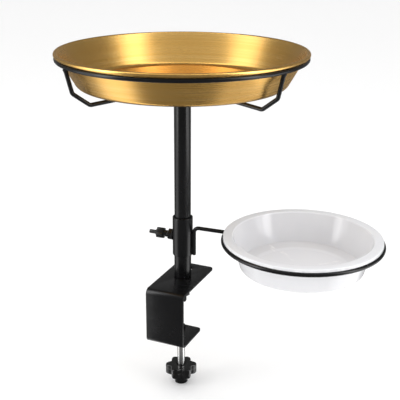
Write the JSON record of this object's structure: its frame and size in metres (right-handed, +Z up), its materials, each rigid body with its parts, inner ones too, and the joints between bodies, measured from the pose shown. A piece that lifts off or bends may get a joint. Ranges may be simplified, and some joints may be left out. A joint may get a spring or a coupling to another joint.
{
  "type": "clamp-on bird bath with side dish",
  "caption": "Round metal pan held in a wire ring on a pole, with a sliding side arm carrying a plastic dish, clamped to a rail by a C clamp with a star-knob screw.",
  "frame": {"origin": "on the pole's axis, level with the face of the upper clamp flange that rests on the rail", "axes": "+Z up along the pole, +Y the way the clamp's jaw opens (away from its front plate), +X across the clamp to the side that the arm reaches"},
  "size_m": [0.4107, 0.306, 0.452],
  "materials": {
    "brushed_gold": "brushed around the axis, lacquered, satin gloss",
    "black_powder_coat": "fine satin powder coat",
    "zinc_steel": "bright zinc plate",
    "dark_zinc": "black zinc plate",
    "black_plastic": "moulded, slight sheen",
    "white_plastic": "translucent polypropylene, glossy"
  },
  "bodies": {
    "clamp": {"clamp_bracket": "black_powder_coat", "clamp_nut": "black_powder_coat"},
    "pad": {"pressure_pad": "black_powder_coat"},
    "screw": {"clamp_screw": "zinc_steel", "star_knob": "black_plastic"},
    "pole": {"lower_pole": "black_powder_coat", "upper_pole": "black_powder_coat", "pole_joint_plug": "zinc_steel", "pole_foot_plug": "zinc_steel", "pole_stud": "dark_zinc", "pole_washer": "dark_zinc", "pole_spring_washer": "dark_zinc", "pole_nut": "dark_zinc"},
    "collar": {"collar_sleeve": "black_powder_coat", "collar_nut": "black_powder_coat", "side_arm": "black_powder_coat", "dish_ring": "black_powder_coat"},
    "thumb": {"thumb_screw": "zinc_steel", "thumb_grip": "black_plastic"},
    "dish": {"feeder_dish": "white_plastic"},
    "carrier": {"hub_cap": "black_powder_coat", "basin_ring": "black_powder_coat", "ring_arm_1": "black_powder_coat", "ring_arm_2": "black_powder_coat", "ring_arm_3": "black_powder_coat"},
    "pan": {"basin_pan": "brushed_gold"}
  },
  "joints": [
    {"name": "pole_turn", "type": "hinge", "parent": "clamp", "child": "pole", "pos_m": [0, 0, 0], "axis": [0, 0, 1], "continuous": true},
    {"name": "collar_height", "type": "slide", "parent": "pole", "child": "collar", "axis": [0, 0, 1], "range_m": [-0.031, 0.09]},
    {"name": "thumb_turn", "type": "hinge", "parent": "collar", "child": "thumb", "pos_m": [0, 0, 0.06], "axis": [-0.9986, -0.0523, 0], "range_deg": [0, 1080]},
    {"name": "dish_lift", "type": "slide", "parent": "collar", "child": "dish", "axis": [0, 0, 1], "range_m": [0, 0.05]},
    {"name": "carrier_turn", "type": "hinge", "parent": "pole", "child": "carrier", "pos_m": [0, 0, 0.25], "axis": [0, 0, 1], "continuous": true},
    {"name": "pan_lift", "type": "slide", "parent": "carrier", "child": "pan", "axis": [0, 0, 1], "range_m": [0, 0.06]},
    {"name": "screw_travel", "type": "slide", "parent": "clamp", "child": "pad", "axis": [0, 0, 1], "range_m": [0, 0.02805]},
    {"name": "screw_turn", "type": "hinge", "parent": "pad", "child": "screw", "pos_m": [0, -0.006, -0.1], "axis": [0, 0, 1], "range_deg": [0, 6720]}
  ],
  "couplings": [
    {"joint": "screw_travel", "follows": "screw_turn", "m_per_rad": 0.00023873}
  ]
}
